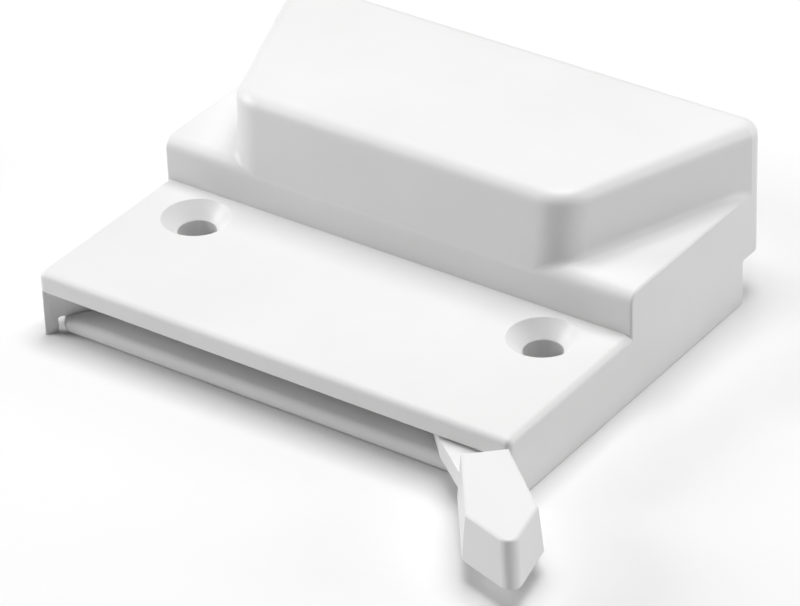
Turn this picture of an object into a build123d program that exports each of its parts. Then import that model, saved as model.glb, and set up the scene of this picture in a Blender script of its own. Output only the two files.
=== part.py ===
"""Stair gate latch: a moulded case with a thumb lever that draws a spring bolt.

Millimetres, +Z up. The origin lies on the mounting plane, midway between the two fixing
holes. The thumb lever leaves the case at the front (-Y) and the bolt at the back (+Y).
"""
from build123d import *
from math import atan2, cos, radians, sin, tan
import os

# Case, outside
CASE_HALF_WIDTH = 35.0
FRONT_Y = -20.7
RISER_Y = 5.7
BACK_Y = 36.1
REBATE_Y = 32.9
REBATE_TOP = 6.2
PLATE_TOP = 9.1
SHOULDER_TOP = 15.1
BLOCK_TOP = 24.4
BLOCK_FRONT_HALF = 24.4
BLOCK_MEETS_SIDE = 33.2
BLOCK_FLARE = (CASE_HALF_WIDTH - BLOCK_FRONT_HALF) / (BLOCK_MEETS_SIDE - RISER_Y)
BLOCK_BOTTOM = 13.0
BLOCK_FRONT_LEAN = 1.1
BLOCK_CORNER_R = 5.4
BLOCK_EDGE_R = 2.0
REAR_CORNER_R = 2.2
SHOULDER_EDGE_R = 1.8
FRONT_EDGE_R = 0.9
FRONT_CORNER_R = 0.9
SIDE_EDGE_R = 0.35
SHOULDER_BLEND_R = 1.4

# Case, inside
WALL = 2.4
ROOF_FRONT = 6.4
MOUTH_HALF = 34.5
MOUTH_WALL_ANGLE = 37.0
POCKET_WALL = 1.5
RIM_WALL = 1.2
LEDGE_THICK = 0.5
HOLLOW_CORNER_R = 1.5
RIB_THICK = 1.8
TOP_RIB_X = 6.0
ROOT = 0.5
NOTCH_DEPTH = 1.7
NOTCH_LENGTH = 3.0

# Fixing holes, for 4.5 mm countersunk wood screws
FIXING_SPACING = 52.0
FIXING_HOLE_R = 2.5
COUNTERSINK_R = 4.5
PILLAR_R = 4.3

# Base plate
BASE_THICK = 2.2
BASE_FRONT_Y = FRONT_Y + 1.4
BASE_GAP = 0.2
BASE_CORNER_R = 2.0
BASE_NOSE_R = 1.05

# Lever, measured along its own centre line from the pivot
PIVOT_Y = 12.3
REST_ANGLE = 43.0
SWING = 83.0
ARM_BOTTOM = 3.5
ARM_TOP = 6.0
HUB_R = 7.0
TAB_ROOT = 49.1
TAB_SHOULDER = 61.3
TAB_TIP = 68.5
TAB_ROOT_HALF = 2.8
TAB_SHOULDER_HALF = 4.2
TAB_BOTTOM = 3.0
TAB_DRAFT = 0.55
TAB_TIP_R = 1.3
TAB_EDGE_R = 0.35
NECK_START = 41.5
NECK_LEFT_HALF = 4.2
NECK_RIGHT_HALF = 3.15
ARM_LEFT_HALF = 4.6
ARM_RIGHT_HALF = 3.6
TAIL = 12.5
TAIL_HALF = 3.2
TAIL_SWEEP_R = TAIL + TAIL_HALF + 1.5

# Pivot
PIN_R = 2.0
PIN_FOOT = 0.8
PIN_PLAY = 0.05
WASHER_R = 4.0
WASHER_THICK = 0.5
WASHER_PLAY = 0.05

# Keeper plate under the bolt
KEEPER_BOTTOM = 6.7
KEEPER_THICK = 1.0
KEEPER_HALF = 25.9
KEEPER_CORNER_R = 2.0
ARC_SLOT_PLAY = 0.4
KEEPER_TOP = KEEPER_BOTTOM + KEEPER_THICK

# Bolt
BOLT_TRAVEL = 8.0
BOLT_BOTTOM = 7.9
BOLT_TOP = 13.9
BOLT_HALF = 18.5
BOLT_FRONT = 16.6
BOLT_SHOULDER = 33.4
NOSE_HALF = 11.0
NOSE_OUT = 8.6
NOSE_BEVEL = 4.6
NOSE_FLAT = 1.6
NOSE_EDGE_R = 0.6
BOLT_CORNER_R = 1.0
CAM_ROOF = 13.0
SLIDE_PLAY = 0.3

# Drive peg and its sleeve
PEG_R = 1.5
PEG_TOP = 12.6
SLEEVE_R = 2.2
SLEEVE_BOTTOM = 8.2
SLEEVE_PLAY = 0.15

# Bolt springs
SPRING_X = 14.8
SPRING_Z = 10.9
SPRING_MEAN_R = 1.85
SPRING_WIRE_R = 0.25
SPRING_PITCH = 1.75
SPRING_POCKET_R = 2.5
SPRING_POCKET_DEPTH = 6.0
SPRING_PEG_R = 1.2
SPRING_PEG_LENGTH = 2.8

# Screws
BASE_SCREWS = [(29.4, -9.0), (28.8, 24.0)]
BASE_SCREW_HEAD_R = 2.4
BASE_SCREW_R = 1.2
BASE_SCREW_LENGTH = 7.4
BASE_BOSS_R = 2.5
KEEPER_SCREWS = [(23.6, 11.4), (23.6, 28.2)]
KEEPER_SCREW_HEAD_R = 1.9
KEEPER_SCREW_R = 1.0
KEEPER_SCREW_HEAD = 1.1
KEEPER_SCREW_LENGTH = 5.0
KEEPER_BOSS_R = 2.3


def both_sides(points):
    """The given places and their mirror images across the middle plane."""
    return [(side * x, y) for x, y in points for side in (-1, 1)]


def prism(points, bottom, top):
    """A straight prism over a flat outline."""
    outline = Polyline(*points, close=True)
    return extrude(make_face(Plane.XY.offset(bottom) * outline), top - bottom)


def upright(x, y, radius, bottom, top):
    """A vertical cylinder between two heights."""
    return Pos(x, y, (bottom + top) / 2) * Cylinder(radius, top - bottom)


def block_half(y):
    """Half the raised block's outside width at a depth y."""
    return BLOCK_FRONT_HALF + BLOCK_FLARE * (y - RISER_Y)


def edges_at(solid, axis, **where):
    """Edges of a solid that run along an axis and pass through the given coordinates."""
    found = solid.edges().filter_by(axis)
    for name, value in where.items():
        found = [e for e in found if abs(abs(getattr(e.center(), name)) - abs(value)) < 0.01]
    return ShapeList(found)


def lower_body():
    """The case without its raised block: front plate, riser, shoulders and rear rebate."""
    side_view = [
        (FRONT_Y, 0), (FRONT_Y, PLATE_TOP), (RISER_Y, PLATE_TOP), (RISER_Y, SHOULDER_TOP),
        (BACK_Y, SHOULDER_TOP), (BACK_Y, REBATE_TOP), (REBATE_Y, REBATE_TOP), (REBATE_Y, 0),
    ]
    outline = Plane.YZ * Polyline(*side_view, close=True)
    body = extrude(make_face(outline), CASE_HALF_WIDTH, both=True)
    body = fillet(edges_at(body, Axis.Z, X=CASE_HALF_WIDTH, Y=BACK_Y), REAR_CORNER_R)
    body = fillet(edges_at(body, Axis.Z, X=CASE_HALF_WIDTH, Y=REBATE_Y), REAR_CORNER_R)
    body = fillet(edges_at(body, Axis.X, Y=RISER_Y, Z=SHOULDER_TOP), SHOULDER_EDGE_R)
    body = fillet(edges_at(body, Axis.X, Y=FRONT_Y, Z=PLATE_TOP), FRONT_EDGE_R)
    body = fillet(edges_at(body, Axis.Z, X=CASE_HALF_WIDTH, Y=FRONT_Y), FRONT_CORNER_R)
    body = fillet(edges_at(body, Axis.Z, X=CASE_HALF_WIDTH, Y=RISER_Y), SIDE_EDGE_R)
    return body


def raised_block():
    """The block behind the riser, which flares to the full width at the back."""
    right = [(BLOCK_FRONT_HALF, RISER_Y), (CASE_HALF_WIDTH, BLOCK_MEETS_SIDE), (CASE_HALF_WIDTH, BACK_Y)]
    left = [(-x, y) for x, y in reversed(right)]
    block = prism(right + left, BLOCK_BOTTOM, BLOCK_TOP)
    wedge = [(RISER_Y, BLOCK_BOTTOM), (RISER_Y + BLOCK_FRONT_LEAN, BLOCK_TOP), (RISER_Y - 1, BLOCK_TOP)]
    lean = Plane.YZ * Polyline(*wedge, close=True)
    block = block - extrude(make_face(lean), CASE_HALF_WIDTH, both=True)
    corners = [e for e in block.edges() if e.center().Y < RISER_Y + 2 and e.length < BLOCK_TOP]
    block = fillet(ShapeList(corners), BLOCK_CORNER_R)
    block = fillet(edges_at(block, Axis.Z, X=CASE_HALF_WIDTH, Y=BACK_Y), REAR_CORNER_R)
    return fillet(block.faces().sort_by(Axis.Z)[-1].edges(), BLOCK_EDGE_R)


def mouth_outline():
    """Fan-shaped outline that the lever sweeps, open at the front."""
    slope = tan(radians(MOUTH_WALL_ANGLE))
    front = FRONT_Y - 2
    at_front = MOUTH_HALF + 2 * slope
    back = PIVOT_Y + TAIL_SWEEP_R
    at_hub = MOUTH_HALF - slope * (RISER_Y - FRONT_Y)
    return [
        (-at_front, front), (at_front, front), (at_hub, RISER_Y), (at_hub + 5, back),
        (-at_hub - 5, back), (-at_hub, RISER_Y),
    ]


def base_recess():
    """The rebate in the case's underside that takes the base plate."""
    half = CASE_HALF_WIDTH - RIM_WALL
    depth = REBATE_Y - RIM_WALL - BASE_FRONT_Y
    middle = BASE_FRONT_Y + depth / 2
    recess = Pos(0, middle, BASE_THICK / 2) * Box(2 * half, depth, BASE_THICK)
    return fillet(edges_at(recess, Axis.Z, Y=REBATE_Y - RIM_WALL), BASE_CORNER_R)


def side_hollows():
    """Hollows on both sides of the lever's pocket, under the front plate."""
    slope = tan(radians(MOUTH_WALL_ANGLE))
    wall = POCKET_WALL / cos(radians(MOUTH_WALL_ANGLE))
    inner = CASE_HALF_WIDTH - WALL
    start = FRONT_Y + (MOUTH_HALF + wall - inner) / slope
    at_riser = MOUTH_HALF + wall - slope * (RISER_Y - FRONT_Y)
    corners = [(inner, start), (inner, RISER_Y + 1), (at_riser, RISER_Y + 1), (at_riser, RISER_Y)]
    right = prism(corners, 0, ROOF_FRONT)
    return right + mirror(right, Plane.YZ)


def rear_hollow():
    """The hollow behind the riser: under the shoulders and up into the block."""
    front = RISER_Y + WALL
    back = BACK_Y - WALL
    low_back = REBATE_Y - WALL
    inner = CASE_HALF_WIDTH - WALL
    step = REBATE_TOP + LEDGE_THICK
    low = Pos(0, (front + low_back) / 2, step / 2) * Box(2 * inner, low_back - front, step)
    under_shoulder = SHOULDER_TOP - WALL
    middle = Pos(0, (front + back) / 2, (step + under_shoulder) / 2)
    middle = middle * Box(2 * inner, back - front, under_shoulder - step)
    skin = WALL / cos(atan2(BLOCK_FLARE, 1))
    corners = [(block_half(front) - skin, front), (CASE_HALF_WIDTH - WALL, back)]
    corners = corners + [(-x, y) for x, y in reversed(corners)]
    high = prism(corners, step, BLOCK_TOP - WALL)
    high = fillet(high.edges().filter_by(Axis.Z), HOLLOW_CORNER_R)
    return low + middle + high


def pivot_clearance():
    """Room for the lever's hub and tail between the front pocket and the rear hollow."""
    return upright(0, PIVOT_Y, TAIL_SWEEP_R, 0, ROOF_FRONT)


def bolt_guides():
    """Ribs that hang from the roof and lead the bolt at its sides and on its top."""
    roof = BLOCK_TOP - WALL + ROOT
    front = RISER_Y + WALL - ROOT
    back = BACK_Y - WALL + ROOT
    depth = back - front
    middle = (front + back) / 2
    ribs = []
    for side in (-1, 1):
        x = side * (BOLT_HALF + SLIDE_PLAY + RIB_THICK / 2)
        ribs.append(Pos(x, middle, (KEEPER_TOP + roof) / 2) * Box(RIB_THICK, depth, roof - KEEPER_TOP))
        over = BOLT_TOP + SLIDE_PLAY
        ribs.append(Pos(side * TOP_RIB_X, middle, (over + roof) / 2) * Box(RIB_THICK, depth, roof - over))
        length = SPRING_PEG_LENGTH + ROOT
        peg = Cylinder(SPRING_PEG_R, length, rotation=(90, 0, 0))
        ribs.append(Pos(side * SPRING_X, front + length / 2, SPRING_Z) * peg)
    return ribs


def bosses():
    """Screw bosses and the pillars around the fixing holes."""
    solids = []
    for x, y in both_sides([(FIXING_SPACING / 2, 0)]):
        solids.append(upright(x, y, PILLAR_R, 0, PLATE_TOP - 1))
    for x, y in both_sides(BASE_SCREWS):
        roof = PLATE_TOP if y < RISER_Y else SHOULDER_TOP
        solids.append(upright(x, y, BASE_BOSS_R, BASE_THICK, roof - 1))
    for x, y in both_sides(KEEPER_SCREWS):
        roof = SHOULDER_TOP if abs(x) + KEEPER_BOSS_R > block_half(y) - WALL else BLOCK_TOP
        solids.append(upright(x, y, KEEPER_BOSS_R, KEEPER_TOP, roof - 1))
    return solids


def fixing_hole(x, y):
    """A through hole with a 90 degree countersink."""
    depth = COUNTERSINK_R - FIXING_HOLE_R
    cone = Cone(FIXING_HOLE_R, COUNTERSINK_R + 0.5, depth + 0.5)
    cone = Pos(x, y, PLATE_TOP - depth + (depth + 0.5) / 2) * cone
    return upright(x, y, FIXING_HOLE_R, -1, PLATE_TOP) + cone


def screw_pilots():
    """Pilot holes for the base screws and the keeper screws."""
    holes = []
    for x, y in both_sides(BASE_SCREWS):
        holes.append(upright(x, y, BASE_SCREW_R, 0, BASE_SCREW_LENGTH))
    for x, y in both_sides(KEEPER_SCREWS):
        top = KEEPER_BOTTOM + KEEPER_SCREW_LENGTH
        holes.append(upright(x, y, KEEPER_SCREW_R, KEEPER_BOTTOM, top))
    return holes


def rim_notch():
    """A prising notch through the foot of the left side wall, beside the mouth."""
    y = BASE_FRONT_Y + NOTCH_LENGTH / 2
    return Pos(-CASE_HALF_WIDTH, y, 0) * Box(4 * RIM_WALL, NOTCH_LENGTH, 2 * NOTCH_DEPTH)


def bolt_window():
    """The opening in the rear wall that the bolt's nose passes through."""
    width = 2 * (NOSE_HALF + SLIDE_PLAY)
    height = BOLT_TOP - BOLT_BOTTOM + 2 * SLIDE_PLAY
    return Pos(0, BACK_Y, (BOLT_TOP + BOLT_BOTTOM) / 2) * Box(width, 3 * WALL, height)


def outer_shell():
    """The outside of the case, with the block blended into the shoulders."""
    body = lower_body() + raised_block()
    crease = body.edges().filter_by_position(Axis.Z, SHOULDER_TOP - 0.01, SHOULDER_TOP + 0.01)
    crease = [e for e in crease if abs(e.center().X) < CASE_HALF_WIDTH - 2 and e.center().Y > RISER_Y + 5]
    return fillet(ShapeList(crease), SHOULDER_BLEND_R)


def make_housing():
    body = outer_shell()
    body = body - prism(mouth_outline(), -1, ROOF_FRONT) - pivot_clearance()
    body = body - side_hollows() - rear_hollow()
    body = body + bosses() + bolt_guides()
    body = body - base_recess() - rim_notch() - bolt_window()
    for x, y in both_sides([(FIXING_SPACING / 2, 0)]):
        body = body + upright(x, y, PILLAR_R, 0, BASE_THICK)
        body = body - fixing_hole(x, y)
    for hole in screw_pilots():
        body = body - hole
    return body


def along_lever(points, angle=REST_ANGLE):
    """Points given along and across the lever, turned to its resting place."""
    turn = radians(angle)
    turned = []
    for along, across in points:
        x = along * sin(turn) + across * cos(turn)
        y = PIVOT_Y - along * cos(turn) + across * sin(turn)
        turned.append((x, y))
    return turned


def thumb_tab():
    """The pentagonal thumb tab, wider at its foot than at its top."""
    half_tip = atan2(TAB_SHOULDER_HALF, TAB_TIP - TAB_SHOULDER)
    spread = TAB_DRAFT / sin(half_tip)
    top = [
        (TAB_ROOT, -TAB_ROOT_HALF), (TAB_SHOULDER, -TAB_SHOULDER_HALF), (TAB_TIP, 0),
        (TAB_SHOULDER, TAB_SHOULDER_HALF), (TAB_ROOT, TAB_ROOT_HALF),
    ]
    foot_half = TAB_SHOULDER_HALF + TAB_DRAFT
    foot = [
        (TAB_ROOT, -TAB_ROOT_HALF - TAB_DRAFT), (TAB_SHOULDER + 0.2, -foot_half), (TAB_TIP + spread, 0),
        (TAB_SHOULDER + 0.2, foot_half), (TAB_ROOT, TAB_ROOT_HALF + TAB_DRAFT),
    ]
    faces = []
    for outline, height in ((foot, TAB_BOTTOM), (top, PLATE_TOP)):
        line = Polyline(*along_lever(outline), close=True)
        faces.append(make_face(Plane.XY.offset(height) * line))
    tab = loft(faces, ruled=True)
    tip = tab.edges().sort_by_distance(Vector(*along_lever([(TAB_TIP, 0)])[0], PLATE_TOP / 2))
    upright_tip = [e for e in tip if abs(e.tangent_at(0.5).Z) > 0.9]
    tab = fillet(upright_tip[0], TAB_TIP_R)
    return fillet(tab.faces().sort_by(Axis.Z)[-1].edges(), TAB_EDGE_R)


def make_thumb_lever():
    into_tab = TAB_ROOT + 0.6
    left = [(0, -ARM_LEFT_HALF), (NECK_START, -NECK_LEFT_HALF), (into_tab, -TAB_ROOT_HALF)]
    right = [(into_tab, 2.3), (NECK_START, NECK_RIGHT_HALF), (0, ARM_RIGHT_HALF)]
    arm = prism(along_lever(left + right), ARM_BOTTOM, ARM_TOP)
    tail = prism(along_lever([(0, -4), (-TAIL, -TAIL_HALF), (-TAIL, TAIL_HALF), (0, 4)]), ARM_BOTTOM, ARM_TOP)
    tail_x, tail_y = along_lever([(-TAIL, 0)])[0]
    tail = tail + upright(tail_x, tail_y, TAIL_HALF, ARM_BOTTOM, ARM_TOP)
    washer_top = BASE_THICK + WASHER_THICK + WASHER_PLAY
    hub = upright(0, PIVOT_Y, HUB_R, washer_top, KEEPER_BOTTOM - WASHER_THICK - WASHER_PLAY)
    lever = thumb_tab() + arm + tail + hub
    lever = lever - upright(0, PIVOT_Y, PIN_R + PIN_PLAY, 0, KEEPER_TOP)
    return lever - upright(tail_x, tail_y, PEG_R, 0, KEEPER_TOP)


def make_drive_peg():
    x, y = along_lever([(-TAIL, 0)])[0]
    return upright(x, y, PEG_R, ARM_BOTTOM, PEG_TOP)


def make_peg_sleeve():
    x, y = along_lever([(-TAIL, 0)])[0]
    return upright(x, y, SLEEVE_R, SLEEVE_BOTTOM, PEG_TOP) - upright(x, y, PEG_R, 0, BOLT_TOP)


def make_base_plate():
    half = CASE_HALF_WIDTH - RIM_WALL - BASE_GAP
    depth = REBATE_Y - RIM_WALL - BASE_GAP - BASE_FRONT_Y
    plate = Pos(0, BASE_FRONT_Y + depth / 2, BASE_THICK / 2) * Box(2 * half, depth, BASE_THICK)
    plate = fillet(plate.edges().filter_by(Axis.Z), BASE_CORNER_R)
    front = [e for e in plate.edges() if e.center().Y < BASE_FRONT_Y + 2 and abs(e.tangent_at(0.5).Z) < 0.1]
    plate = fillet(ShapeList([e for e in front if e.center().Z < 0.1]), BASE_NOSE_R)
    front = [e for e in plate.edges() if e.center().Y < BASE_FRONT_Y + 2 and e.center().Z > BASE_THICK - 0.1]
    plate = fillet(ShapeList(front), BASE_NOSE_R)
    for x, y in both_sides([(FIXING_SPACING / 2, 0)]):
        plate = plate - upright(x, y, PILLAR_R + BASE_GAP, -1, BASE_THICK + 1)
    for x, y in both_sides(BASE_SCREWS):
        plate = plate - base_screw(x, y)
    return plate - upright(0, PIVOT_Y, PIN_R, PIN_FOOT, BASE_THICK + 1)


def base_screw(x, y):
    """A countersunk self-tapping screw, head down."""
    cone_height = BASE_SCREW_HEAD_R - BASE_SCREW_R
    head = Pos(x, y, cone_height / 2) * Cone(BASE_SCREW_HEAD_R, BASE_SCREW_R, cone_height)
    return head + upright(x, y, BASE_SCREW_R, cone_height, BASE_SCREW_LENGTH)


def cross_recess(length, width, height):
    """Two crossed slots, centred on the origin."""
    return Box(length, width, height) + Box(width, length, height)


def make_base_screws():
    screws = []
    for x, y in both_sides(BASE_SCREWS):
        screws.append(base_screw(x, y) - Pos(x, y, 0) * cross_recess(2.9, 0.7, 1.2))
    return Compound(children=screws)


def make_keeper_plate():
    """The plate that carries the bolt, with an arc slot for the drive peg."""
    front = RISER_Y + WALL + SLIDE_PLAY
    back = BACK_Y - WALL - SLIDE_PLAY
    middle = (front + back) / 2
    plate = Pos(0, middle, KEEPER_BOTTOM + KEEPER_THICK / 2)
    plate = plate * Box(2 * KEEPER_HALF, back - front, KEEPER_THICK)
    plate = fillet(plate.edges().filter_by(Axis.Z), KEEPER_CORNER_R)
    plate = plate - arc_slot(PEG_R + ARC_SLOT_PLAY, KEEPER_BOTTOM - 1, KEEPER_TOP + 1)
    plate = plate - upright(0, PIVOT_Y, PIN_R, 0, BLOCK_TOP)
    for x, y in both_sides(KEEPER_SCREWS):
        plate = plate - upright(x, y, KEEPER_SCREW_R, 0, BLOCK_TOP)
    return plate


def arc_slot(half_width, bottom, top):
    """The ring sector that the drive peg sweeps about the pivot."""
    ring = upright(0, PIVOT_Y, TAIL + half_width, bottom, top)
    ring = ring - upright(0, PIVOT_Y, TAIL - half_width, bottom - 1, top + 1)
    reach = 3 * TAIL
    right = along_lever([(0, 0), (-reach, 0)], REST_ANGLE - SWING)
    left = along_lever([(-reach, 0)], REST_ANGLE)
    sector = prism(right + [(0, PIVOT_Y + reach)] + left, bottom, top)
    slot = ring & sector
    for angle in (REST_ANGLE, REST_ANGLE - SWING):
        x, y = along_lever([(-TAIL, 0)], angle)[0]
        slot = slot + upright(x, y, half_width, bottom, top)
    return slot


def make_keeper_screws():
    screws = []
    for x, y in both_sides(KEEPER_SCREWS):
        head_bottom = KEEPER_BOTTOM - KEEPER_SCREW_HEAD
        head = upright(x, y, KEEPER_SCREW_HEAD_R, head_bottom, KEEPER_BOTTOM)
        head = fillet(head.faces().sort_by(Axis.Z)[0].edges(), 0.5)
        shank = upright(x, y, KEEPER_SCREW_R, KEEPER_BOTTOM, KEEPER_BOTTOM + KEEPER_SCREW_LENGTH)
        recess = Pos(x, y, head_bottom) * cross_recess(2.4, 0.5, 0.9)
        screws.append(head + shank - recess)
    return Compound(children=screws)


def make_pivot_pin():
    return upright(0, PIVOT_Y, PIN_R, PIN_FOOT, KEEPER_TOP)


def make_washer(bottom):
    washer = upright(0, PIVOT_Y, WASHER_R, bottom, bottom + WASHER_THICK)
    return washer - upright(0, PIVOT_Y, PIN_R, 0, KEEPER_TOP)


def cam_path(turned):
    """Where the drive peg stands in the resting bolt once the lever has turned by an angle."""
    x, y = along_lever([(-TAIL, 0)], REST_ANGLE - turned)[0]
    return x, y + BOLT_TRAVEL * turned / SWING


def cam_slot():
    """The pocket in the bolt's underside that turns the peg's swing into the bolt's travel."""
    half_width = SLEEVE_R + SLEEVE_PLAY
    stations = 8
    path = Spline(*[cam_path(SWING * i / stations) for i in range(stations + 1)])
    bottom = BOLT_BOTTOM - 1
    slot = extrude(Plane.XY.offset(bottom) * trace(path, 2 * half_width), CAM_ROOF - bottom)
    for turned in (0, SWING):
        x, y = cam_path(turned)
        slot = slot + upright(x, y, half_width, bottom, CAM_ROOF)
    return slot


def make_latch_bolt():
    """Sliding bolt: a wide body with spring pockets and a bevelled nose."""
    height = BOLT_TOP - BOLT_BOTTOM
    depth = BOLT_SHOULDER - BOLT_FRONT
    centre_z = (BOLT_TOP + BOLT_BOTTOM) / 2
    body = Pos(0, BOLT_FRONT + depth / 2, centre_z) * Box(2 * BOLT_HALF, depth, height)
    body = fillet(body.edges().filter_by(Axis.Z), BOLT_CORNER_R)
    tip = BACK_Y + NOSE_OUT
    root = BOLT_SHOULDER - 4
    side_view = [
        (root, BOLT_BOTTOM), (tip - NOSE_BEVEL, BOLT_BOTTOM), (tip, BOLT_TOP - NOSE_FLAT),
        (tip, BOLT_TOP), (root, BOLT_TOP),
    ]
    nose = extrude(make_face(Plane.YZ * Polyline(*side_view, close=True)), NOSE_HALF, both=True)
    nose = fillet(nose.edges().filter_by(Axis.X).filter_by_position(Axis.Y, tip - 0.1, tip + 0.1), NOSE_EDGE_R)
    bolt = body + nose - cam_slot()
    for side in (-1, 1):
        pocket = Cylinder(SPRING_POCKET_R, SPRING_POCKET_DEPTH, rotation=(90, 0, 0))
        bolt = bolt - Pos(side * SPRING_X, BOLT_FRONT + SPRING_POCKET_DEPTH / 2, SPRING_Z) * pocket
    return bolt


def make_bolt_spring(side):
    """A compression spring between the riser's inner face and the bolt's pocket."""
    start = RISER_Y + WALL + 2 * SPRING_WIRE_R
    end = BOLT_FRONT + SPRING_POCKET_DEPTH - 2 * SPRING_WIRE_R
    coil = Helix(SPRING_PITCH, end - start, SPRING_MEAN_R)
    wire = Plane(origin=coil @ 0, z_dir=coil % 0) * Circle(SPRING_WIRE_R)
    spring = sweep(wire, path=coil, is_frenet=True)
    return Pos(side * SPRING_X, start, SPRING_Z) * (Rot(-90, 0, 0) * spring)


def make_parts():
    """Every node of the latch by name."""
    parts = {
        "housing": make_housing(),
        "base_plate": make_base_plate(),
        "base_screws": make_base_screws(),
        "keeper_plate": make_keeper_plate(),
        "keeper_screws": make_keeper_screws(),
        "pivot_pin": make_pivot_pin(),
        "lower_washer": make_washer(BASE_THICK),
        "upper_washer": make_washer(KEEPER_BOTTOM - WASHER_THICK),
        "thumb_lever": make_thumb_lever(),
        "drive_peg": make_drive_peg(),
        "peg_sleeve": make_peg_sleeve(),
        "latch_bolt": make_latch_bolt(),
        "left_bolt_spring": make_bolt_spring(-1),
        "right_bolt_spring": make_bolt_spring(1),
    }
    return parts


if __name__ == "__main__":
    os.makedirs("parts", exist_ok=True)
    for name, shape in make_parts().items():
        shape.label = name
        export_step(shape, f"parts/{name}.step")
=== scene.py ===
import math

import bmesh
import bpy
from mathutils import Matrix, Vector


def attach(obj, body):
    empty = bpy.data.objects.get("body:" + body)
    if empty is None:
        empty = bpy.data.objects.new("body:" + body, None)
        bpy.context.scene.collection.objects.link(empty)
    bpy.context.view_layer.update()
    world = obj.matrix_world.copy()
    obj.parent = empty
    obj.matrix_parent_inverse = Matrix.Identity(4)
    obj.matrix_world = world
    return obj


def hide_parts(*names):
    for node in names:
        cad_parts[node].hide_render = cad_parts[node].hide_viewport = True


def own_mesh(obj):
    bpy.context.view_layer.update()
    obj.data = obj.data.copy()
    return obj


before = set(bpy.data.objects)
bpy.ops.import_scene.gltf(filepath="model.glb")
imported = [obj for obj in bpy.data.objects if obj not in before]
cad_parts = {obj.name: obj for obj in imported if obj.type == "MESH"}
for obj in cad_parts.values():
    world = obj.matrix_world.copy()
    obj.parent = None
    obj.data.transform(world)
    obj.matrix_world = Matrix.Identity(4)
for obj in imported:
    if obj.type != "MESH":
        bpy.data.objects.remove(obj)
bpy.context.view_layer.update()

MM = 0.001

# Camera, from the middle of the front plate's foot
CAMERA_TARGET = Vector((0, -20.7, 0)) * MM
CAMERA_AZIMUTH = math.radians(36.02)
CAMERA_ELEVATION = math.radians(32.53)
CAMERA_ROLL = math.radians(-2.17)
CAMERA_OFFSET = Vector((15.75, 13.78, 540.4)) * MM
CAMERA_LENS = 201.8
SENSOR_WIDTH = 36.0

# Soft boxes: azimuth and elevation as seen from the latch, distance, size and power
SOFT_BOXES = {
    "top_box": (170, 83, 0.60, 0.42, 3.85),
    "left_box": (-64, 22, 0.65, 0.26, 2.5),
    "right_box": (118, 16, 0.65, 0.26, 1.35),
    "rear_box": (205, 40, 0.70, 0.45, 0.3),
}
LIGHT_TARGET = Vector((0, 5, 8)) * MM
WORLD_GREY = (0.80, 0.80, 0.80, 1)
WORLD_STRENGTH = 0.04

# Floor
FLOOR_HALF = 3.0
FLOOR_GAP = 0.00005

# Surface details, in millimetres
# Painted shade in creases: how far it looks for nearby surfaces, and the darker tint it multiplies in
CREASE_SHADE_REACH = 1.6
CREASE_SHADE_TINT = (0.70, 0.69, 0.66)
METAL_GRAIN = 0.008
SHADE_SAMPLES = 6

# Screw and spring details, in millimetres
PLATE_SCREW_HEAD_R = 2.3
PLATE_SCREW_CORE_R = 1.0
PLATE_SCREW_PLACES = [(29.4, -9.0), (28.8, 24.0)]
PLATE_SCREW_LENGTH = 7.3
SCREW_PLACES = [(side * x, y) for x, y in PLATE_SCREW_PLACES for side in (-1, 1)]
RIDGE_R = 1.18
RIDGE_START = 1.9
RIDGE_PITCH = 0.9
RECESS_ARM = 1.25
RECESS_HALF = 0.3
RECESS_DEPTH = 0.85
RECESS_TAPER = 0.6
CUT_OVERLAP = 0.3
SPRING_X = 14.8
SPRING_Z = 10.9
SPRING_MEAN_R = 1.85
SPRING_WIRE_R = 0.25
SPRING_SEAT = 8.1
SPRING_START = SPRING_SEAT + SPRING_WIRE_R
CLOSED_PITCH = 0.56
OPEN_TURNS = 7.0
OPEN_PITCH = (14.0 - 2 * CLOSED_PITCH) / OPEN_TURNS
COIL_STEPS = 28
WIRE_SIDES = 10


class Shade:
    """One output socket of a material's nodes, with arithmetic on it."""

    def __init__(self, tree, socket):
        self.tree = tree
        self.socket = socket

    def maths(self, operation, other, swap=False):
        first, second = (other, self) if swap else (self, other)
        return node(self.tree, "ShaderNodeMath", {0: first, 1: second}, operation=operation)

    def __add__(self, other):
        return self.maths("ADD", other)

    def __mul__(self, other):
        return self.maths("MULTIPLY", other)

    def __sub__(self, other):
        return self.maths("SUBTRACT", other)

    def __rsub__(self, other):
        return self.maths("SUBTRACT", other, swap=True)

    __radd__ = __add__
    __rmul__ = __mul__

    def clamped(self, low, high):
        """The part of the value between low and high, stretched to 0..1."""
        inputs = {"Value": self, "From Min": low, "From Max": high}
        return node(self.tree, "ShaderNodeMapRange", inputs, clamp=True)


def node(tree, kind, inputs, output=0, **settings):
    """Adds any node: its settings first, then the values or links of its sockets."""
    made = tree.nodes.new(kind)
    for name, value in settings.items():
        setattr(made, name, value)
    for name, value in inputs.items():
        if isinstance(value, Shade):
            tree.links.new(value.socket, made.inputs[name])
        else:
            made.inputs[name].default_value = value
    return Shade(tree, made.outputs[output])


def blank_material(name):
    """A material with no nodes but the object's own coordinates; its output is added when it is finished.
    """
    material = bpy.data.materials.new(name)
    material.use_nodes = True
    tree = material.node_tree
    tree.nodes.clear()
    return material, tree, node(tree, "ShaderNodeTexCoord", {}, output="Object")


def noise(tree, place, scale, detail=2.0, roughness=0.5, stretch=None):
    """Fractal noise with its scale in features per metre."""
    if stretch:
        place = node(tree, "ShaderNodeMapping", {"Vector": place, "Scale": stretch})
    inputs = {"Vector": place, "Scale": scale, "Detail": detail, "Roughness": roughness}
    return node(tree, "ShaderNodeTexNoise", inputs, output="Fac")


def tinted(tree, mask, plain, changed):
    """One colour where the mask is 0 and the other where it is 1."""
    inputs = {0: mask, 6: (*plain, 1), 7: (*changed, 1)}
    return node(tree, "ShaderNodeMix", inputs, output=2, data_type="RGBA")


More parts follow.
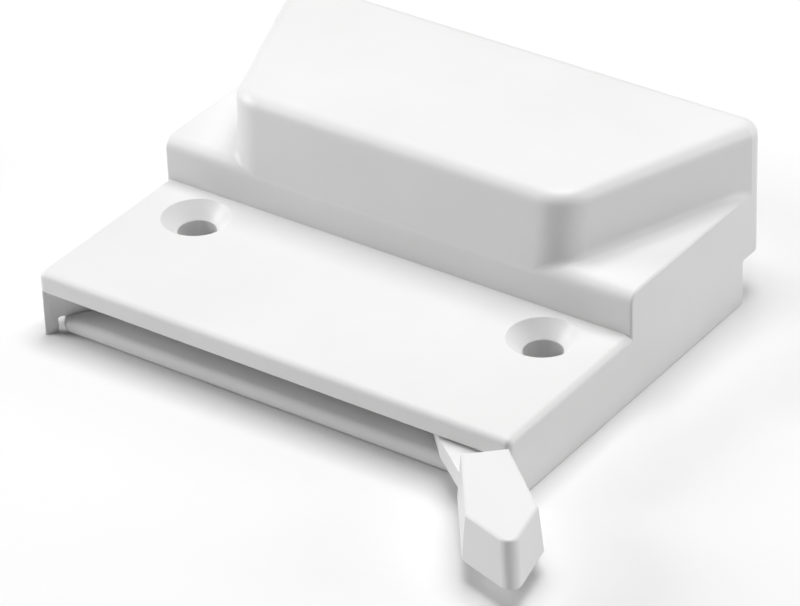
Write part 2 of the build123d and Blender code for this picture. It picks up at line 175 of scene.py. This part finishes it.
def finish_material(material, tree, inputs):
    shader = node(tree, "ShaderNodeBsdfPrincipled", inputs)
    node_out = tree.nodes.new("ShaderNodeOutputMaterial")
    tree.links.new(shader.socket, node_out.inputs["Surface"])
    return material


def moved(tree, place, offset):
    """The coordinates moved by an offset in metres, to centre a pattern or to tell two finishes apart."""
    return node(tree, "ShaderNodeMapping", {"Vector": place, "Location": offset})


def moulded_plastic(name, colour, shade, rough, edge_mm, grain, seed, strokes=None):
    """Injection moulded plastic: spark-eroded grain, a slow flow of tone, smears, and painted shade in
    creases.
    """
    material, tree, place = blank_material(name)
    shifted = moved(tree, place, (seed, seed * 0.7, seed * 0.3))
    flow = noise(tree, shifted, 45, 3.0, 0.55).clamped(0.3, 0.7)
    fine = noise(tree, shifted, 5200, 1.0, 0.6)
    pebble = noise(tree, shifted, 2100, 2.0, 0.5)
    smears = noise(tree, shifted, 130, 4.0, 0.65).clamped(0.52, 0.72)
    open_air = node(tree, "ShaderNodeAmbientOcclusion", {"Distance": CREASE_SHADE_REACH * MM}, output="AO",
                    samples=SHADE_SAMPLES, only_local=True)
    # Painted shade: darker where ambient occlusion finds nearby surfaces, as in creases and recesses; the
    # same mask also makes them a little rougher
    painted_crease_shade = (1 - open_air).clamped(0.42, 0.95) * (0.35 + 0.4 * flow)
    body = tinted(tree, flow, colour, shade)
    # The painted crease shade, multiplied into the plastic's colour
    crease_shaded_colour = tinted(tree, painted_crease_shade * 0.30, (1, 1, 1), CREASE_SHADE_TINT)
    coloured = node(tree, "ShaderNodeMix", {0: 1.0, 6: body, 7: crease_shaded_colour}, output=2, data_type="RGBA",
                    blend_type="MULTIPLY")
    height = fine * 0.45 + pebble * 0.55
    rounded = node(tree, "ShaderNodeBevel", {"Radius": edge_mm * MM}, samples=SHADE_SAMPLES)
    roughness = rough + 0.05 * flow - 0.07 * smears + 0.10 * painted_crease_shade
    if strokes:
        scratches = noise(tree, shifted, 700, 3.0, 0.7, stretch=strokes).clamped(0.58, 0.70)
        height = height + scratches * -0.8
        roughness = roughness + 0.12 * scratches
    bump_inputs = {"Strength": 0.5, "Distance": grain * MM, "Height": height, "Normal": rounded}
    normal = node(tree, "ShaderNodeBump", bump_inputs)
    return finish_material(material, tree, {
        "Base Color": coloured, "Roughness": roughness, "Normal": normal, "IOR": 1.5,
        "Specular IOR Level": 0.45,
    })


def plated_metal(name, colour, shade, rough, seed, brush, rings=None, edge_mm=0.12):
    """Bare or plated steel: a drawn or turned grain, cloudy tone and faint handling marks."""
    material, tree, place = blank_material(name)
    shifted = moved(tree, place, (seed, seed * 0.4, seed * 0.9))
    cloud = noise(tree, shifted, 260, 4.0, 0.6).clamped(0.32, 0.68)
    grain = noise(tree, shifted, 900, 3.0, 0.6, stretch=brush)
    marks = noise(tree, shifted, 1500, 4.0, 0.7).clamped(0.60, 0.75)
    height = grain
    if rings:
        centred = moved(tree, place, tuple(-c * MM for c in rings))
        turned = node(tree, "ShaderNodeTexWave", {"Vector": centred, "Scale": 900.0, "Distortion": 1.5},
                      output="Fac", wave_type="RINGS", rings_direction="Z")
        height = height * 0.4 + turned * 0.6
    roughness = rough + 0.10 * cloud + 0.10 * grain - 0.05 + 0.12 * marks
    rounded = node(tree, "ShaderNodeBevel", {"Radius": edge_mm * MM}, samples=SHADE_SAMPLES)
    bump_inputs = {"Strength": 0.4, "Distance": METAL_GRAIN * MM, "Height": height, "Normal": rounded}
    normal = node(tree, "ShaderNodeBump", bump_inputs)
    return finish_material(material, tree, {
        "Base Color": tinted(tree, cloud, colour, shade), "Metallic": 1.0,
        "Roughness": roughness, "Normal": normal,
    })


def dress(piece, material):
    piece.data.materials.clear()
    piece.data.materials.append(material)


def put_in_order(shape):
    """Remakes a mesh with its points and faces sorted by place, so that every run gives the same one."""
    points = sorted(shape.verts, key=lambda vert: tuple(vert.co))
    for number, vert in enumerate(points):
        vert.index = number
    loops = []
    for face in shape.faces:
        corners = [vert.index for vert in face.verts]
        first = corners.index(min(corners))
        loops.append(corners[first:] + corners[:first])
    places = [tuple(vert.co) for vert in points]
    shape.clear()
    verts = [shape.verts.new(place) for place in places]
    for loop in sorted(loops):
        shape.faces.new([verts[number] for number in loop])


def new_piece(name, mesh_maker, material):
    """Makes a mesh object from a function that fills a bmesh in metres."""
    shape = bmesh.new()
    mesh_maker(shape)
    bmesh.ops.remove_doubles(shape, verts=shape.verts, dist=0.000001)
    bmesh.ops.recalc_face_normals(shape, faces=shape.faces)
    put_in_order(shape)
    mesh = bpy.data.meshes.new(name)
    shape.to_mesh(mesh)
    shape.free()
    piece = bpy.data.objects.new(name, mesh)
    bpy.context.scene.collection.objects.link(piece)
    dress(piece, material)
    return piece


# Camera
sin_a, cos_a = math.sin(CAMERA_AZIMUTH), math.cos(CAMERA_AZIMUTH)
sin_e, cos_e = math.sin(CAMERA_ELEVATION), math.cos(CAMERA_ELEVATION)
back = Vector((sin_a * cos_e, -cos_a * cos_e, sin_e))
level_right = Vector((cos_a, sin_a, 0))
level_up = back.cross(level_right)
sin_r, cos_r = math.sin(CAMERA_ROLL), math.cos(CAMERA_ROLL)
right = cos_r * level_right + sin_r * level_up
up = -sin_r * level_right + cos_r * level_up
axes = Matrix((right, up, back)).transposed()
camera = bpy.data.objects.new("camera", bpy.data.cameras.new("camera"))
camera.matrix_world = Matrix.Translation(CAMERA_TARGET + axes @ CAMERA_OFFSET) @ axes.to_4x4()
camera.data.lens = CAMERA_LENS
camera.data.sensor_width = SENSOR_WIDTH
camera.data.clip_start = 0.01
bpy.context.scene.collection.objects.link(camera)
bpy.context.scene.camera = camera

# Light
for name, (azimuth, elevation, distance, size, power) in SOFT_BOXES.items():
    light = bpy.data.lights.new(name, "AREA")
    light.size = size
    light.energy = power
    turn, lift = math.radians(azimuth), math.radians(elevation)
    away = Vector((math.sin(turn) * math.cos(lift), -math.cos(turn) * math.cos(lift), math.sin(lift)))
    lamp = bpy.data.objects.new(name, light)
    lamp.location = LIGHT_TARGET + away * distance
    lamp.rotation_euler = away.to_track_quat("Z", "Y").to_euler()
    bpy.context.scene.collection.objects.link(lamp)
world = bpy.data.worlds.new("studio")
world.use_nodes = True
world.node_tree.nodes["Background"].inputs["Color"].default_value = WORLD_GREY
world.node_tree.nodes["Background"].inputs["Strength"].default_value = WORLD_STRENGTH
bpy.context.scene.world = world
bpy.context.scene.view_settings.view_transform = "Standard"

# Floor
floor_material, floor_tree, _ = blank_material("floor_card")
finish_material(floor_material, floor_tree, {"Base Color": (0.79, 0.79, 0.79, 1), "Roughness": 0.9})


def floor_sheet(shape):
    bmesh.ops.create_grid(shape, x_segments=1, y_segments=1, size=FLOOR_HALF)
    bmesh.ops.translate(shape, verts=shape.verts, vec=(0, 0, -FLOOR_GAP))


floor = new_piece("floor", floor_sheet, floor_material)

# Finishes
CASE_WHITE, CASE_SHADE = (0.74, 0.742, 0.74), (0.705, 0.707, 0.703)
LEVER_WHITE, LEVER_SHADE = (0.75, 0.752, 0.75), (0.715, 0.717, 0.713)
BOLT_WHITE, BOLT_SHADE = (0.70, 0.69, 0.66), (0.66, 0.65, 0.615)
ACETAL_WHITE, ACETAL_SHADE = (0.80, 0.79, 0.74), (0.74, 0.73, 0.68)
case_plastic = moulded_plastic("case_plastic", CASE_WHITE, CASE_SHADE, 0.40, 0.16, 0.022, 0.0)
plate_plastic = moulded_plastic("plate_plastic", CASE_WHITE, CASE_SHADE, 0.43, 0.2, 0.024, 0.31)
lever_plastic = moulded_plastic("lever_plastic", LEVER_WHITE, LEVER_SHADE, 0.36, 0.18, 0.016, 0.57)
bolt_nylon = moulded_plastic("bolt_nylon", BOLT_WHITE, BOLT_SHADE, 0.32, 0.25, 0.008, 0.83, (6, 0.35, 6))
sleeve_acetal = moulded_plastic("sleeve_acetal", ACETAL_WHITE, ACETAL_SHADE, 0.30, 0.1, 0.006, 0.11)
ZINC, ZINC_SHADE = (0.62, 0.63, 0.65), (0.54, 0.55, 0.58)
STEEL, STEEL_SHADE = (0.66, 0.66, 0.67), (0.58, 0.58, 0.59)
WIRE, WIRE_SHADE = (0.48, 0.48, 0.50), (0.40, 0.40, 0.42)
zinc_plate = plated_metal("zinc_plate", ZINC, ZINC_SHADE, 0.34, 0.2, (0.4, 5, 1))
zinc_screw = plated_metal("zinc_screw", ZINC, ZINC_SHADE, 0.30, 0.5, (2, 2, 2))
ground_steel = plated_metal("ground_steel", STEEL, STEEL_SHADE, 0.22, 0.7, (1, 1, 8), (0, 12.3, 0))
peg_steel = plated_metal("peg_steel", STEEL, STEEL_SHADE, 0.22, 0.9, (1, 1, 8))
spring_wire = plated_metal("spring_wire", WIRE, WIRE_SHADE, 0.28, 0.4, (1, 6, 1), edge_mm=0.04)
NODE_FINISHES = {
    "housing": case_plastic, "base_plate": plate_plastic, "thumb_lever": lever_plastic,
    "latch_bolt": bolt_nylon, "peg_sleeve": sleeve_acetal, "keeper_plate": zinc_plate,
    "keeper_screws": zinc_screw, "pivot_pin": ground_steel, "lower_washer": ground_steel,
    "upper_washer": ground_steel, "drive_peg": peg_steel,
}
for node_name, finish in NODE_FINISHES.items():
    dress(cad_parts[node_name], finish)


def ridged_screws(shape):
    """The four base screws, with countersunk heads and ridged shanks."""
    profile = [
        (0, 0.04), (PLATE_SCREW_HEAD_R - 0.15, 0.04), (PLATE_SCREW_HEAD_R, 0.16),
        (PLATE_SCREW_HEAD_R, 0.22), (PLATE_SCREW_CORE_R + 0.1, 1.15), (PLATE_SCREW_CORE_R, 1.4),
    ]
    for ridge in range(5):
        z = RIDGE_START + ridge * RIDGE_PITCH
        profile += [(PLATE_SCREW_CORE_R, z - 0.25), (RIDGE_R, z), (PLATE_SCREW_CORE_R, z + 0.25)]
    profile += [(PLATE_SCREW_CORE_R, PLATE_SCREW_LENGTH - 1.2), (0.15, PLATE_SCREW_LENGTH - 0.1),
                (0, PLATE_SCREW_LENGTH)]
    for x, y in SCREW_PLACES:
        verts = [shape.verts.new(((x + r) * MM, y * MM, z * MM)) for r, z in profile]
        edges = [shape.edges.new(pair) for pair in zip(verts, verts[1:])]
        bmesh.ops.spin(shape, geom=verts + edges, cent=(x * MM, y * MM, 0), axis=(0, 0, 1),
                       angle=2 * math.pi, steps=40, use_merge=True)


def cross_cutters(shape):
    """A tapered cross for each screw head, as one closed outline raised and narrowed."""
    arm, half = RECESS_ARM, RECESS_HALF
    outline = [
        (arm, -half), (arm, half), (half, half), (half, arm), (-half, arm), (-half, half),
        (-arm, half), (-arm, -half), (-half, -half), (-half, -arm), (half, -arm), (half, -half),
    ]
    for x, y in SCREW_PLACES:
        foot = [shape.verts.new(((x + u) * MM, (y + v) * MM, -CUT_OVERLAP * MM)) for u, v in outline]
        face = shape.faces.new(foot)
        raised = bmesh.ops.extrude_face_region(shape, geom=[face])["geom"]
        tops = [v for v in raised if isinstance(v, bmesh.types.BMVert)]
        bmesh.ops.translate(shape, verts=tops, vec=(0, 0, (RECESS_DEPTH + CUT_OVERLAP) * MM))
        centre = Matrix.Translation((-x * MM, -y * MM, 0))
        bmesh.ops.scale(shape, verts=tops, vec=(RECESS_TAPER, RECESS_TAPER, 1), space=centre)


def cut_away(piece, cutter):
    """Takes the cutter out of a piece's mesh, and removes the cutter."""
    cut = piece.modifiers.new("recess", "BOOLEAN")
    cut.operation = "DIFFERENCE"
    cut.solver = "EXACT"
    cut.object = cutter
    bpy.context.view_layer.update()
    evaluated = piece.evaluated_get(bpy.context.evaluated_depsgraph_get())
    mesh = bpy.data.meshes.new_from_object(evaluated)
    piece.modifiers.clear()
    piece.data = mesh
    bpy.data.objects.remove(cutter)


screws = new_piece("plate_screws", ridged_screws, zinc_screw)
cut_away(screws, new_piece("recess_cutters", cross_cutters, zinc_screw))
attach(screws, "case")
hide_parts("base_screws")

def spring_at(side):
    """A maker for one compression spring: a wire ring spun round the axis, with closed end turns."""
    def coil(shape):
        x = side * SPRING_X
        wire = bmesh.ops.create_circle(shape, segments=WIRE_SIDES, radius=SPRING_WIRE_R * MM)
        ring = wire["verts"]
        bmesh.ops.rotate(shape, verts=ring, cent=(0, 0, 0), matrix=Matrix.Rotation(math.pi / 2, 3, "Y"))
        first = (x * MM, SPRING_START * MM, (SPRING_Z + SPRING_MEAN_R) * MM)
        bmesh.ops.translate(shape, verts=ring, vec=first)
        geom = list(ring) + list(shape.edges)
        bmesh.ops.edgeloop_fill(shape, edges=list(shape.edges))
        for turns, rise in ((1.0, CLOSED_PITCH), (OPEN_TURNS, OPEN_PITCH), (1.0, CLOSED_PITCH)):
            steps = round(turns * COIL_STEPS)
            spun = bmesh.ops.spin(
                shape, geom=geom, cent=(x * MM, 0, SPRING_Z * MM), axis=(0, 1, 0),
                dvec=(0, rise * turns / steps * MM, 0), angle=2 * math.pi * turns, steps=steps,
            )
            geom = spun["geom_last"]
        bmesh.ops.edgeloop_fill(shape, edges=[e for e in geom if isinstance(e, bmesh.types.BMEdge)])
    return coil


for name, side in (("left_spring", -1), ("right_spring", 1)):
    spring = new_piece(name, spring_at(side), spring_wire)
    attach(spring, "case")
    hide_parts(name.replace("spring", "bolt_spring"))
    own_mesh(spring)
